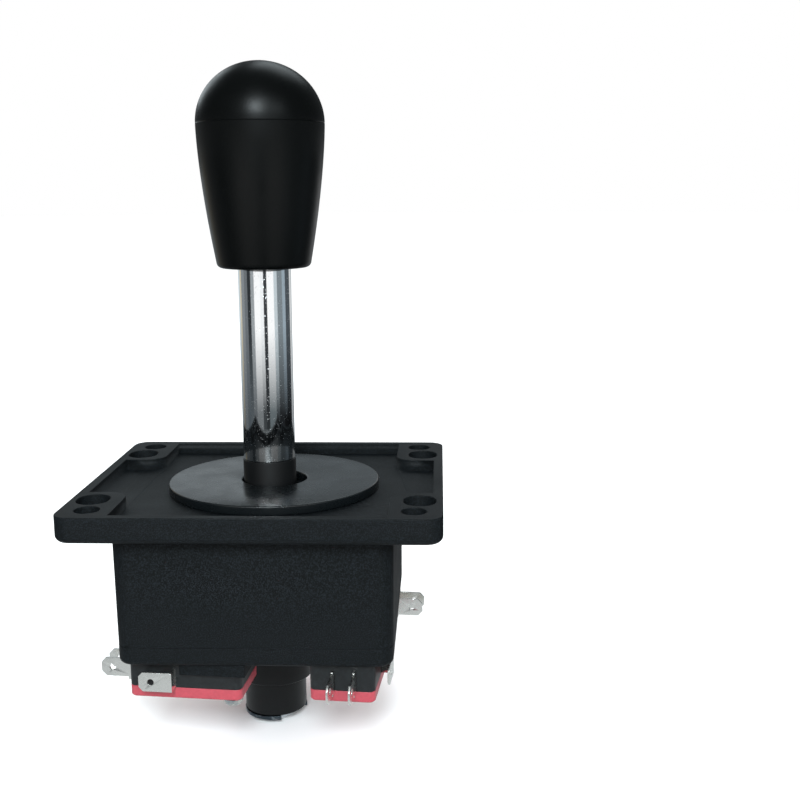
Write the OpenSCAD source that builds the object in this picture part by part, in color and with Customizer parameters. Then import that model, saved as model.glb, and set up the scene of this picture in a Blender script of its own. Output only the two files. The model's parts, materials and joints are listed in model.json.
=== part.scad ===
// Arcade joystick: a sprung bat-top stick on a ball pivot that works four lever microswitches.
// Origin at the centre of the panel bolt pattern, on top of the flange. +Z runs up the stick,
// X along the flange's long side, and the player stands on the -Y side.

/* [Flange] */
// Length of the flange along X
flange_l = 89.5; // [88:0.1:92]
// Width of the flange along Y
flange_w = 77.6; // [76:0.1:80]
// Thickness of the flange at its edge
flange_h = 6.4; // [5.5:0.1:7]
// Radius of the flange's corners
flange_r = 4; // [3:0.5:5]
// Radius of the rounded lower edge
flange_edge_r = 1.6; // [0.8:0.1:2]
// Width of the raised rim round the recess
rim_w = 2.5; // [2:0.1:3]
// Depth of the recess inside the rim
recess_d = 3; // [2.6:0.1:3]
// Distance from the centre to the inner side of a corner pad, along X
pad_x = 32; // [31:0.5:33]
// Distance from the centre to the inner side of a corner pad, along Y
pad_y = 16.5; // [16:0.5:18]
// Radius of a corner pad's inner corner
pad_r = 5; // [3:0.5:6]

/* [Panel holes] */
// Diameter of the round panel holes
hole_d = 6; // [5:0.1:6.2]
// Spacing of the round holes along X
hole_x = 76; // [75:0.2:77]
// Spacing of the round holes along Y
hole_y = 64.4; // [63.8:0.2:65]
// Width of the slotted holes along X
slot_w = 7.8; // [7:0.1:8]
// Length of the slotted holes along Y
slot_l = 9.1; // [8.6:0.1:9.4]
// Spacing of the slotted holes along X
slot_x = 78.4; // [78:0.2:79]
// Spacing of the slotted holes along Y
slot_y = 46.6; // [46:0.2:47]

/* [Case and base plate] */
// Side of the square case under the flange
case_w = 66.4; // [66:0.1:67]
// How far each side of the case leans in from top to bottom
case_draft = 0.2; // [0:0.1:0.5]
// Depth of the case's open bottom below the flange's top
case_depth = 33.7; // [33:0.1:34.5]
// Radius of the case's upright corners
case_r = 4; // [3:0.5:5]
// Thickness of the case's walls
wall = 2.4; // [2:0.1:2.8]
// Thickness of the base plate
plate_h = 4.6; // [4.4:0.1:5]
// Depth of the pocket in the base plate that each switch sits in
pocket_d = 0.6; // [0.4:0.1:0.8]
// Diameter of the hole in the base plate that limits the stick
plate_hole_d = 23.2; // [22.8:0.1:23.6]
// Distance of each base screw from the centre, along X and along Y
base_screw_at = 27.4; // [27:0.1:27.8]

/* [Pivot and dust washer] */
// Depth of the pivot's centre below the flange's top
pivot_depth = 9; // [8.8:0.1:9.2]
// Diameter of the pivot ball
ball_d = 19; // [18.6:0.1:19.4]
// Diameter of the collar above the ball
collar_d = 13.5; // [13.4:0.1:13.8]
// Height of the collar's top above the flange
collar_top = 4.9; // [4:0.1:5]
// Diameter of the dust washer
washer_d = 53.8; // [52:0.1:55]
// Thickness of the dust washer
washer_h = 2.4; // [1.6:0.1:2.5]
// Diameter of the dust washer's hole
washer_hole_d = 16.7; // [16.4:0.1:17]
// How far the loose dust washer lies off centre, along X
washer_off = 1.2; // [0:0.1:1.2]

/* [Stick] */
// Diameter of the steel shaft
shaft_d = 9.8; // [9.6:0.1:10]
// Diameter of the chromed sleeve
sleeve_d = 13.2; // [13:0.1:13.6]
// Height of the handle's bottom above the flange
handle_z = 53.7; // [52:0.1:55]
// Length of the handle
handle_l = 49.8; // [49:0.1:52]
// Diameter of the handle at its bottom
handle_base_d = 23.4; // [23:0.1:24.5]
// Diameter of the handle where it is widest
handle_d = 31.5; // [31:0.1:32]
// How fast the handle narrows towards its bottom
handle_taper = 1.55; // [1.4:0.05:1.7]
// Depth of the shaft's end below the flange
shaft_depth = 65.5; // [65:0.1:66]

/* [Centring spring] */
// Diameter of the spring's wire
wire_d = 1.6; // [1.4:0.1:1.8]
// Diameter of the spring from wire centre to wire centre
coil_d = 26.4; // [26:0.1:26.8]
// Number of turns
coils = 4.5; // [4:0.5:5]

/* [Actuator] */
// Diameter of the neck that passes through the base plate
neck_d = 14; // [13.6:0.1:14.2]
// Diameter of the part that pushes the levers
cam_d = 20; // [19.6:0.1:20.1]
// Diameter of the narrow end
tip_d = 16.2; // [15.8:0.1:16.6]
// Depths of the actuator's steps below the flange: top, cam, narrow end, bottom
actuator_z = [33, 40, 54, 63.2];

/* [Microswitches] */
// Length of a switch, from its terminal end to its plunger end
switch_l = 27.8; // [27.8:0.1:28]
// Width of a switch, from its lever side to its common terminal's side
switch_w = 15.9; // [15.8:0.1:16]
// Thickness of a switch
switch_h = 10.3; // [10.2:0.1:10.4]
// Thickness of the coloured cover
cover_h = 2.8; // [2.6:0.1:3]
// Angle that each switch is turned on the base plate
switch_turn = 5; // [4:0.5:6]
// Distance from the stick's axis to a switch's lever side
switch_face = 15.2; // [15.2:0.1:15.4]
// Distance from the stick's axis back to a switch's terminal end
switch_back = 28.7; // [28.4:0.1:29]
// Diameter of the two holes through a switch
switch_hole_d = 3.1; // [3:0.1:3.2]
// Length of a lever beyond its bend
lever_l = 26.6; // [26:0.1:27]
// Angle that a lever stands away from its case
lever_angle = 7.3; // [7.2:0.1:7.6]

/* [Hidden] */
$fn = 64;

eps = 0.01;
black_plastic = "#1c1d1f";
bright_steel = "#c4c6c8";

// The four directions, as quarter turns about the stick's axis from the switch on the +X side.
// Each switch is named for the way the stick is pushed when its lever is pressed.
LEFT = 0;
DOWN = 1;
RIGHT = 2;
UP = 3;

// Levels down the stick
plate_top = -case_depth;
plate_z = plate_top - plate_h;
switch_top = plate_z + pocket_d;
switch_z = switch_top - switch_h;
cover_z = switch_z + cover_h;

// Pivot and spring seat
ball_z = -pivot_depth;
ball_cap = 4.6;
socket_gap = 0.05;
throat_d = 16.8;
boss_d = 26;
boss_z = -13.2;
seat_z = -15.5;
seat_h = 1.5;
seat_d = coil_d + 2.8;
bore_d = shaft_d + 0.1;

// Actuator's clip groove
groove_d = 7.8;
clip_h = 1;
clip_d = 16.5;

// Height of every screw's head
screw_head_h = 1.8;

// Microswitch, in its own frame: x from the lever side, y from the terminal end
shell = 1.2;
switch_r = 1.6;
screw_hole = [switch_w - 2.8, switch_l - 2.8];
peg_hole = [2.8, 2.8];
lever_y = 11.5;
lever_root_x = 0.5;
lever_rise = 1.45;
lever_t = 0.4;
lever_h = 4.4;
plunger_y = 22.8;
plunger_w = 2.75;
plunger_h = 3.4;
plunger_out = 2.45;
com_y = 11.4;
tab_w = 4.8;
tab_t = 0.5;
tab_l = 8.7;
no_x = 11.1;
nc_x = 5.9;
mid_z = switch_top - 5;

// ---------------------------------------------------------------- shapes

// A rounded rectangle, centred
module rounded_rect(l, w, r) {
    square([l - 2 * r, w], center = true);
    square([l, w - 2 * r], center = true);
    for (x = [-1, 1], y = [-1, 1])
        translate([x * (l / 2 - r), y * (w / 2 - r)]) circle(r);
}

// Cross-section from a corner's centre outwards, with its lower edge rounded by e
module rounded_foot(r, h, e) {
    square([r - e, h]);
    translate([0, e]) square([r, h - e]);
    translate([r - e, e]) circle(e);
}

// A plate with rounded corners and a rounded lower edge, standing on z = 0
module rounded_plate(l, w, h, r, e) {
    span = [l - 2 * r, w - 2 * r];
    linear_extrude(h) rounded_rect(l - 2 * e, w - 2 * e, r - e);
    translate([0, 0, e]) linear_extrude(h - e) rounded_rect(l, w, r);
    for (x = [-1, 1], y = [-1, 1])
        translate([x * span[0] / 2, y * span[1] / 2, 0])
            rotate_extrude() rounded_foot(r, h, e);
    for (side = [0 : 3])
        rotate([0, 0, 90 * side])
            translate([span[side % 2] / 2, span[(side + 1) % 2] / 2, 0])
                rotate([90, 0, 0]) linear_extrude(span[(side + 1) % 2]) rounded_foot(r, h, e);
}

// Repeats its children at the four corners of a rectangle
module at_corners(l, w) {
    for (x = [-1, 1], y = [-1, 1]) translate([x * l / 2, y * w / 2, 0]) children();
}

// A pan head with a cross recess, its seat on z = 0 and its top facing -Z, on a shank along +Z
module pan_screw(head_d, head_h, shank_d, shank_l) {
    recess_l = head_d * 0.56;
    recess_w = head_d * 0.13;
    difference() {
        rotate_extrude() {
            polygon([
                [0, 0], [head_d / 2, 0],
                for (a = [0 : 15 : 90])
                    [head_d / 2 - head_h * 0.55 * (1 - cos(a)), -head_h * (0.3 + 0.7 * sin(a))],
                [0, -head_h]
            ]);
        }
        for (a = [0, 90])
            rotate([0, 0, a]) translate([-recess_l / 2, -recess_w / 2, -head_h - eps])
                cube([recess_l, recess_w, head_h * 0.6]);
    }
    cylinder(d = shank_d, h = shank_l);
}

// Puts a switch's own frame where the numbered switch sits on the base plate
module at_switch(side) {
    rotate([0, 0, 90 * side - switch_turn])
        translate([switch_face, -switch_back, 0]) children();
}

// Outline of a switch seen along Z
module switch_outline(inset = 0) {
    translate([switch_w / 2, switch_l / 2])
        rounded_rect(switch_w - 2 * inset, switch_l - 2 * inset, switch_r - min(inset, 1));
}

// ---------------------------------------------------------------- housing

// Plan of the recess: all inside the rim but the four corner pads
module recess_plan() {
    l = flange_l - 2 * rim_w;
    w = flange_w - 2 * rim_w;
    r = pad_r;
    difference() {
        rounded_rect(l, w, 1.6);
        at_corners(l, w) square([l - 2 * pad_x, w - 2 * pad_y - 2 * r], center = true);
        at_corners(l, w) square([l - 2 * pad_x - 2 * r, w - 2 * pad_y], center = true);
        at_corners(2 * pad_x + 2 * r, 2 * pad_y + 2 * r) circle(r);
    }
}

module panel_holes() {
    at_corners(hole_x, hole_y)
        translate([0, 0, -flange_h - 1]) cylinder(d = hole_d, h = flange_h + 2);
    at_corners(slot_x, slot_y)
        for (y = [-1, 1])
            translate([0, y * (slot_l - slot_w) / 2, -flange_h - 1])
                cylinder(d = slot_w, h = flange_h + 2);
    at_corners(slot_x, slot_y)
        translate([-slot_w / 2, -(slot_l - slot_w) / 2, -flange_h - 1])
            cube([slot_w, slot_l - slot_w, flange_h + 2]);
}

// The case's outside, leaning in by the draft
module case_body() {
    hull() {
        translate([0, 0, -flange_h - 0.1]) linear_extrude(0.1 + eps)
            rounded_rect(case_w, case_w, case_r, $fn = 32);
        translate([0, 0, plate_top]) linear_extrude(eps)
            rounded_rect(case_w - 2 * case_draft, case_w - 2 * case_draft, case_r, $fn = 32);
    }
}

module case_hollow() {
    inner = case_w - 2 * case_draft - 2 * wall;
    translate([0, 0, plate_top - 1]) linear_extrude(case_depth - flange_h - 1.5)
        rounded_rect(inner, inner, case_r - wall / 2);
}

// Inside the case: the pivot's boss, its ribs and the posts for the base screws
module case_inside() {
    inner = case_w / 2 - case_draft - wall;
    translate([0, 0, boss_z]) cylinder(d = boss_d, h = -boss_z - recess_d - 1);
    for (a = [0 : 45 : 315])
        rotate([0, 0, a]) translate([boss_d / 2 - 1, -0.9, boss_z + 1.5])
            cube([inner - boss_d / 2 + 1.5, 1.8, -boss_z - flange_h]);
    at_corners(2 * base_screw_at, 2 * base_screw_at)
        translate([0, 0, plate_top]) cylinder(d = 7.6, h = case_depth - flange_h);
}

// Ball socket, its open throat above and its way in from below
module pivot_socket() {
    socket_d = ball_d + 2 * socket_gap;
    translate([0, 0, ball_z]) sphere(d = socket_d);
    translate([0, 0, boss_z - 1]) cylinder(d = socket_d, h = ball_z - boss_z + 1);
    translate([0, 0, ball_z + ball_cap - 0.2]) cylinder(d = throat_d, h = pivot_depth);
}

module housing() {
    color(black_plastic) difference() {
        union() {
            difference() {
                union() {
                    translate([0, 0, -flange_h])
                        rounded_plate(flange_l, flange_w, flange_h, flange_r, flange_edge_r);
                    case_body();
                }
                case_hollow();
            }
            case_inside();
        }
        translate([0, 0, -recess_d]) linear_extrude(recess_d + 1) recess_plan();
        panel_holes();
        pivot_socket();
        at_corners(2 * base_screw_at, 2 * base_screw_at)
            translate([0, 0, plate_top - 1]) cylinder(d = 3, h = 13);
    }
}

// ---------------------------------------------------------------- base plate

// Low wall that locates a switch's screw corner, in the switch's frame
module locating_rib() {
    gap = 0.4;
    t = 0.9;
    h = 3;
    start_y = com_y + 1.6;
    start_x = 4.5;
    translate([switch_w + gap, start_y, plate_z - h]) cube([t, switch_l + gap + t - start_y, h + eps]);
    translate([start_x, switch_l + gap, plate_z - h]) cube([switch_w + gap + t - start_x, t, h + eps]);
}

module base_plate() {
    side = case_w - 2 * case_draft;
    head_seat = pocket_d + screw_head_h + 0.1;
    color(black_plastic) for (k = [LEFT, DOWN, RIGHT, UP]) at_switch(k)
        translate([peg_hole[0], peg_hole[1], switch_z + 0.8])
            cylinder(d = switch_hole_d - 0.2, h = switch_h);
    color(black_plastic) difference() {
        union() {
            translate([0, 0, plate_z]) rounded_plate(side, side, plate_h, case_r, 1.3);
            for (k = [LEFT, DOWN, RIGHT, UP]) at_switch(k) locating_rib();
            // ring that centres the spring
            translate([0, 0, plate_top - eps]) difference() {
                cylinder(d = coil_d + wire_d + 4.4, h = 1.8);
                translate([0, 0, -1]) cylinder(d = coil_d + wire_d + 0.8, h = 4);
            }
        }
        translate([0, 0, plate_z - 1]) cylinder(d = plate_hole_d, h = plate_h + 4);
        at_corners(2 * base_screw_at, 2 * base_screw_at) {
            translate([0, 0, plate_z - 1]) cylinder(d = 3.4, h = plate_h + 2);
            translate([0, 0, plate_z - 1]) cylinder(d = 6.4, h = 1 + head_seat);
        }
        for (k = [LEFT, DOWN, RIGHT, UP]) at_switch(k) {
            translate([0, 0, plate_z - 1]) linear_extrude(1 + pocket_d) switch_outline(-0.2);
            translate([screw_hole[0], screw_hole[1], plate_z - 1]) cylinder(d = 3, h = 5);
        }
    }
}

module base_screws() {
    color(bright_steel) at_corners(2 * base_screw_at, 2 * base_screw_at)
        translate([0, 0, plate_z + pocket_d + screw_head_h + 0.1])
            rotate([0, 0, 20]) pan_screw(6, screw_head_h, 2.9, 11);
}

module switch_screws() {
    color(bright_steel) for (k = [LEFT, DOWN, RIGHT, UP]) at_switch(k)
        translate([screw_hole[0], screw_hole[1], switch_z])
            rotate([0, 0, 25 + 30 * k]) pan_screw(4.7, screw_head_h, 2.9, switch_h + 3.2);
}

// ---------------------------------------------------------------- stick

module dust_washer() {
    color("#202123") translate([washer_off, 0, -recess_d]) difference() {
        rotate_extrude($fn = 128) {
            square([washer_d / 2 - 0.4, washer_h]);
            square([washer_d / 2, washer_h - 0.4]);
            translate([washer_d / 2 - 0.4, washer_h - 0.4]) circle(0.4, $fn = 24);
        }
        translate([0, 0, -1]) cylinder(d = washer_hole_d, h = washer_h + 2);
    }
}

module pivot_ball() {
    color(black_plastic) difference() {
        union() {
            intersection() {
                translate([0, 0, ball_z]) sphere(d = ball_d);
                translate([0, 0, ball_z - 5.3]) cylinder(d = ball_d + 1, h = 5.3 + ball_cap);
            }
            translate([0, 0, ball_z]) cylinder(d = collar_d, h = pivot_depth + collar_top);
            translate([0, 0, seat_z]) cylinder(d = 15.2, h = 2);
        }
        translate([0, 0, seat_z - 1]) cylinder(d = bore_d, h = 40);
    }
}

module shaft() {
    thread_z = 57;
    color("#b9bcc0") difference() {
        union() {
            translate([0, 0, -shaft_depth + 0.5]) cylinder(d = shaft_d, h = shaft_depth + thread_z - 0.5);
            translate([0, 0, -shaft_depth]) cylinder(d1 = shaft_d - 1, d2 = shaft_d, h = 0.5);
            translate([0, 0, thread_z - eps]) cylinder(d = 6, h = 22);
        }
        translate([0, 0, -actuator_z[3] - clip_h]) difference() {
            cylinder(d = shaft_d + 2, h = clip_h);
            translate([0, 0, -1]) cylinder(d = groove_d, h = clip_h + 2);
        }
    }
}

module sleeve() {
    color("#dfe1e4") difference() {
        translate([0, 0, collar_top]) cylinder(d = sleeve_d, h = 55.5 - collar_top);
        translate([0, 0, collar_top - 1]) cylinder(d = bore_d, h = 60);
    }
}

// Radius of the handle at height z above its bottom, below the widest line
function handle_r(z, wide_z) =
    handle_d / 2 - (handle_d - handle_base_d + 0.3) / 2 * pow((wide_z - z) / wide_z, handle_taper);

module handle() {
    wide_z = handle_l - handle_d / 2 + 1;
    edge = 1.5;
    dome_h = handle_l - wide_z;
    steps = 20;
    color("#161618") translate([0, 0, handle_z]) difference() {
        rotate_extrude($fn = 96) polygon([
            [0, 0],
            for (a = [0 : 22.5 : 90])
                [handle_r(edge, wide_z) - edge * (1 - sin(a)), edge * (1 - cos(a))],
            for (i = [1 : steps])
                let (z = edge + (wide_z - edge) * i / steps) [handle_r(z, wide_z), z],
            for (a = [5 : 5 : 90])
                [handle_d / 2 * cos(a), wide_z + dome_h * sin(a)]
        ]);
        translate([0, 0, -1]) cylinder(d = sleeve_d + 0.1, h = 55.6 - handle_z + 1);
        translate([0, 0, 1]) cylinder(d = bore_d, h = 57.2 - handle_z - 1);
        translate([0, 0, 1]) cylinder(d = 6.1, h = 79.5 - handle_z - 1);
    }
}

module spring_seat() {
    color("#b9bcc0") difference() {
        union() {
            translate([0, 0, seat_z - seat_h]) cylinder(d = seat_d, h = seat_h);
            translate([0, 0, seat_z - seat_h - 2]) cylinder(d = coil_d - wire_d - 1, h = 2 + eps);
        }
        translate([0, 0, seat_z - seat_h - 3]) cylinder(d = bore_d, h = 8);
    }
}

// Share of the coil's height that is reached after t turns: its first and last turn close up
function coil_rise(t) =
    let (lead = 0.75, lead_share = 0.05)
    t < lead ? lead_share * t / lead :
    t > coils - lead ? 1 - lead_share * (coils - t) / lead :
    lead_share + (1 - 2 * lead_share) * (t - lead) / (coils - 2 * lead);

// A point on the wire's surface, t turns along the coil and at angle a round the wire
function coil_point(t, a, low_z, high_z) =
    let (r = coil_d / 2 + wire_d / 2 * cos(a))
    [
        r * cos(360 * t), r * sin(360 * t),
        low_z + (high_z - low_z) * coil_rise(t) + wire_d / 2 * sin(a)
    ];

module centring_spring() {
    sides = 8;
    per_turn = 24;
    rings = coils * per_turn;
    low_z = plate_top + wire_d / 2 + 0.06;
    high_z = seat_z - seat_h - wire_d / 2 - 0.06;
    points = [
        for (i = [0 : rings], j = [0 : sides - 1])
            coil_point(i / per_turn, -360 * j / sides, low_z, high_z)
    ];
    walls = [
        for (i = [0 : rings - 1], j = [0 : sides - 1])
            let (k = (j + 1) % sides, a = i * sides, b = a + sides)
            [a + j, a + k, b + k, b + j]
    ];
    color("#a8abae") polyhedron(points, concat(
        walls,
        [[for (j = [0 : sides - 1]) sides - 1 - j], [for (j = [0 : sides - 1]) rings * sides + j]]
    ));
}

// Neck, cam and narrow end in one moulding. Turned over on the shaft, it gives a shorter throw.
module actuator() {
    top = -actuator_z[0];
    cam = -actuator_z[1];
    narrow = -actuator_z[2];
    bottom = -actuator_z[3];
    color("#18191a") difference() {
        rotate_extrude() polygon([
            [0, top], [neck_d / 2 - 0.5, top], [neck_d / 2, top - 0.5],
            [neck_d / 2, cam], [cam_d / 2 - 0.6, cam], [cam_d / 2, cam - 0.6],
            [cam_d / 2, narrow + 0.6], [cam_d / 2 - 0.6, narrow], [tip_d / 2, narrow],
            [tip_d / 2, bottom + 0.5], [tip_d / 2 - 0.5, bottom], [0, bottom]
        ]);
        translate([0, 0, bottom - 1]) cylinder(d = bore_d, h = top - bottom + 2);
    }
}

// A retaining clip: a C with three lobes that grip the shaft's groove
module e_clip() {
    mouth = -35;
    lobe_angle = 72;
    color("#3b3d40") translate([0, 0, -actuator_z[3] - clip_h]) linear_extrude(clip_h)
        rotate([0, 0, mouth]) {
            difference() {
                circle(d = clip_d);
                circle(d = clip_d - 5.4);
                polygon([[0, -3], [clip_d, -8.2], [clip_d, 8.2], [0, 3]]);
            }
            for (a = [lobe_angle + 6, 180, -lobe_angle - 6])
                rotate([0, 0, a]) intersection() {
                    difference() {
                        circle(d = clip_d - 4);
                        circle(d = groove_d);
                    }
                    polygon([[0, 0], [clip_d, -5], [clip_d, 5]]);
                }
            for (y = [-1, 1]) translate([4.35, y * 5.05]) circle(1.5);
        }
}

// ---------------------------------------------------------------- microswitch pieces

module switch_case(side) {
    through = shell + 2;
    slot_h = mid_z - cover_z + 1;
    color(black_plastic) at_switch(side) difference() {
        union() {
            difference() {
                translate([0, 0, cover_z]) linear_extrude(switch_top - cover_z) switch_outline();
                translate([0, 0, cover_z - 1]) linear_extrude(switch_top - cover_z + 1 - shell)
                    switch_outline(shell);
            }
            for (p = [screw_hole, peg_hole])
                translate([p[0], p[1], cover_z]) cylinder(d = 5.4, h = switch_top - cover_z);
        }
        for (p = [screw_hole, peg_hole])
            translate([p[0], p[1], cover_z - 1]) cylinder(d = switch_hole_d, h = switch_h);
        // ways out for the plunger, the lever's root and the three terminals
        translate([-1, plunger_y - plunger_w / 2 - 0.12, mid_z - plunger_h / 2 - 0.12])
            cube([through, plunger_w + 0.24, plunger_h + 0.24]);
        translate([-1, lever_y - 0.7, cover_z - 1]) cube([through, 1.4, slot_h + lever_h / 2 + 0.15]);
        for (x = [no_x, nc_x])
            translate([x - tab_t / 2, -1, cover_z - 1]) cube([tab_t, through, slot_h + tab_w / 2]);
        translate([switch_w - shell - 1, com_y - tab_t / 2, cover_z - 1])
            cube([through, tab_t, slot_h + tab_w / 2]);
    }
}

module switch_cover(side) {
    edge = 0.3;
    color("#e4717c") at_switch(side) difference() {
        union() {
            translate([0, 0, switch_z]) linear_extrude(cover_h) switch_outline(edge);
            translate([0, 0, switch_z + edge]) linear_extrude(cover_h - edge) switch_outline();
        }
        for (p = [screw_hole, peg_hole])
            translate([p[0], p[1], switch_z - 1]) cylinder(d = switch_hole_d, h = cover_h + 2);
    }
}

module plunger(side) {
    r = plunger_w / 2;
    inner_x = 3.9;
    color("#d9c05c") at_switch(side) translate([0, plunger_y, mid_z]) {
        translate([r - plunger_out, -r, -plunger_h / 2])
            cube([inner_x + plunger_out - r, plunger_w, plunger_h]);
        translate([r - plunger_out, 0, -plunger_h / 2]) cylinder(r = r, h = plunger_h);
        translate([inner_x - 1, -2, -plunger_h / 2]) cube([1, 4, plunger_h]);
    }
}

// A bent strip with two windows; the rolled bead at its root turns in the case's slot
module lever(side) {
    slots = [[3.9, 7.7], [18.6, 4.5]];
    color(bright_steel) at_switch(side) translate([0, lever_y, mid_z - lever_h / 2]) {
        translate([lever_root_x, 0, 0]) cylinder(r = 0.45, h = lever_h);
        translate([-lever_rise - lever_t / 2, -lever_t / 2, 0])
            cube([lever_root_x + lever_rise + lever_t / 2, lever_t, lever_h]);
        translate([-lever_rise, 0, 0]) rotate([0, 0, lever_angle]) difference() {
            translate([-lever_t / 2, -lever_t / 2, 0]) cube([lever_t, lever_l + lever_t / 2, lever_h]);
            for (s = slots) for (end = [0.6, s[1] - 0.6])
                translate([-1, lever_l - s[0] - end, lever_h / 2])
                    rotate([0, 90, 0]) cylinder(r = 0.6, h = 2);
            for (s = slots)
                translate([-1, lever_l - s[0] - s[1] + 0.6, lever_h / 2 - 0.6]) cube([2, s[1] - 1.2, 1.2]);
        }
    }
}

// Outline of a push-on tab that runs along +x from 0, centred on y = 0
module tab_outline(length) {
    shoulder = 1.9;
    difference() {
        polygon([
            [-shell - 3.2, -tab_w / 2], [0.1, -tab_w / 2], [0.1, -3.1], [shoulder, -3.1],
            [shoulder, -tab_w / 2], [length - 1.2, -tab_w / 2], [length, -1.1],
            [length, 1.1], [length - 1.2, tab_w / 2], [shoulder, tab_w / 2],
            [shoulder, 3.1], [0.1, 3.1], [0.1, tab_w / 2], [-shell - 3.2, tab_w / 2]
        ]);
        translate([length - 2.9, 0]) circle(0.8);
    }
}

// A contact terminal that leaves the switch's end, with its contact rivet inside
module end_terminal(side, x, rivet_dir) {
    color(bright_steel) at_switch(side) translate([x, 0, mid_z]) {
        rotate([0, 0, -90]) rotate([90, 0, 0]) translate([0, 0, -tab_t / 2])
            linear_extrude(tab_t) tab_outline(tab_l);
        translate([rivet_dir * tab_t / 2, 3.2, 0])
            rotate([0, rivet_dir * 90, 0]) cylinder(d = 2.6, h = 0.9);
    }
}

module com_terminal(side) {
    out = 3.1;
    back = 8.2;
    inner_x = 12.2;
    color(bright_steel) at_switch(side) translate([0, 0, mid_z]) {
        translate([inner_x, com_y - tab_t / 2, -tab_w / 2]) cube([switch_w - inner_x + out, tab_t, tab_w]);
        translate([switch_w + out - tab_t / 2, com_y + tab_t / 2, 0])
            rotate([0, 0, -90]) rotate([90, 0, 0]) translate([0, 0, -tab_t / 2])
                linear_extrude(tab_t) difference() {
                    polygon([
                        [0, -tab_w / 2], [back - 1, -tab_w / 2], [back, -1.4],
                        [back, 1.4], [back - 1, tab_w / 2], [0, tab_w / 2]
                    ]);
                    translate([back - 3, 0]) circle(0.8);
                }
        translate([inner_x, com_y - tab_t / 2, -tab_w / 2]) cube([tab_t, 10, tab_w]);
        translate([8.7, 20.2, -tab_w / 2]) cube([inner_x + tab_t - 8.7, tab_t, tab_w]);
    }
}

// Snap-action blade: anchored on the common terminal, with the moving contact at its far end
module snap_blade(side) {
    t = 0.2;
    color("#b87a4b") at_switch(side) translate([0, 0, mid_z]) {
        translate([8.5, 3.2, -1.75]) cube([t, 21, 3.5]);
        translate([6.2, 24.2, -1.75]) cube([2.3 + t, t, 3.5]);
        translate([6.2, 21.4, -1.75]) cube([t, 2.9, 3.5]);
        translate([7.6, 3.2, 0]) rotate([0, 90, 0]) cylinder(d = 2.4, h = 2);
    }
}

// ---------------------------------------------------------------- the assembly

housing();
base_plate();
base_screws();
dust_washer();
pivot_ball();
shaft();
sleeve();
handle();
spring_seat();
centring_spring();
actuator();
e_clip();
switch_screws();
switch_case(LEFT);  // left_switch_case
switch_cover(LEFT);  // left_switch_cover
plunger(LEFT);  // left_plunger
lever(LEFT);  // left_lever
com_terminal(LEFT);  // left_com_terminal
end_terminal(LEFT, no_x, -1);  // left_no_terminal
end_terminal(LEFT, nc_x, 1);  // left_nc_terminal
snap_blade(LEFT);  // left_snap_blade
switch_case(DOWN);  // down_switch_case
switch_cover(DOWN);  // down_switch_cover
plunger(DOWN);  // down_plunger
lever(DOWN);  // down_lever
com_terminal(DOWN);  // down_com_terminal
end_terminal(DOWN, no_x, -1);  // down_no_terminal
end_terminal(DOWN, nc_x, 1);  // down_nc_terminal
snap_blade(DOWN);  // down_snap_blade
switch_case(RIGHT);  // right_switch_case
switch_cover(RIGHT);  // right_switch_cover
plunger(RIGHT);  // right_plunger
lever(RIGHT);  // right_lever
com_terminal(RIGHT);  // right_com_terminal
end_terminal(RIGHT, no_x, -1);  // right_no_terminal
end_terminal(RIGHT, nc_x, 1);  // right_nc_terminal
snap_blade(RIGHT);  // right_snap_blade
switch_case(UP);  // up_switch_case
switch_cover(UP);  // up_switch_cover
plunger(UP);  // up_plunger
lever(UP);  // up_lever
com_terminal(UP);  // up_com_terminal
end_terminal(UP, no_x, -1);  // up_no_terminal
end_terminal(UP, nc_x, 1);  // up_nc_terminal
snap_blade(UP);  // up_snap_blade
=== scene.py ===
"""Visual model of an arcade joystick: bat-top stick, ball pivot and four lever microswitches."""
from __future__ import annotations

import json
import logging
import math
from dataclasses import dataclass
from enum import Enum

import bmesh
import bpy
from mathutils import Matrix, Vector

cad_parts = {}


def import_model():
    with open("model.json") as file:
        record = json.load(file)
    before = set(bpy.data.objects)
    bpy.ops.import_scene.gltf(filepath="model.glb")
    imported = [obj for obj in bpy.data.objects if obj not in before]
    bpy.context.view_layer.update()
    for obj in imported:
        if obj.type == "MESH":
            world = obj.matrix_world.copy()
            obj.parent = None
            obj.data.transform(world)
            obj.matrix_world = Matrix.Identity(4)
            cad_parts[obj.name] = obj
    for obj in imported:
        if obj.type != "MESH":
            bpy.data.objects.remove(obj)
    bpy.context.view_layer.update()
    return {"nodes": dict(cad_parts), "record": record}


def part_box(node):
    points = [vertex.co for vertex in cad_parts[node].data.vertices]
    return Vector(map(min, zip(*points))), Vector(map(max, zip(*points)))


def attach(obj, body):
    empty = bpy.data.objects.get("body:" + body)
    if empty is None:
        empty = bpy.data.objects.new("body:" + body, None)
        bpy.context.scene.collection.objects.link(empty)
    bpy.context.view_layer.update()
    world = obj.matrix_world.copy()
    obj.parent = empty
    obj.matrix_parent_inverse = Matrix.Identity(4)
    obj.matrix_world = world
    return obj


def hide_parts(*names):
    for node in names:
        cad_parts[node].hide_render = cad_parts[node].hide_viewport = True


MM = 0.001
MERGE_ANGLE = math.radians(0.5)
COPY_CORNER = 40.0
COPY_CREASE = 50.0
LOG = logging.getLogger("joystick")

Colour = tuple[float, float, float, float]
Profile = list[tuple[float, float]]


# ------------------------------------------------------------------ shared tools


def linear(code: str) -> Colour:
    """Turn an sRGB hex colour into linear RGBA.

    Args:
        code: six hex digits, such as "1c1d1f".

    Returns:
        The colour's linear red, green and blue, and an alpha of 1.
    """
    channels = [int(code[i:i + 2], 16) / 255 for i in (0, 2, 4)]
    red, green, blue = [
        c / 12.92 if c <= 0.04045 else ((c + 0.055) / 1.055) ** 2.4 for c in channels
    ]
    return (red, green, blue, 1.0)


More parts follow.
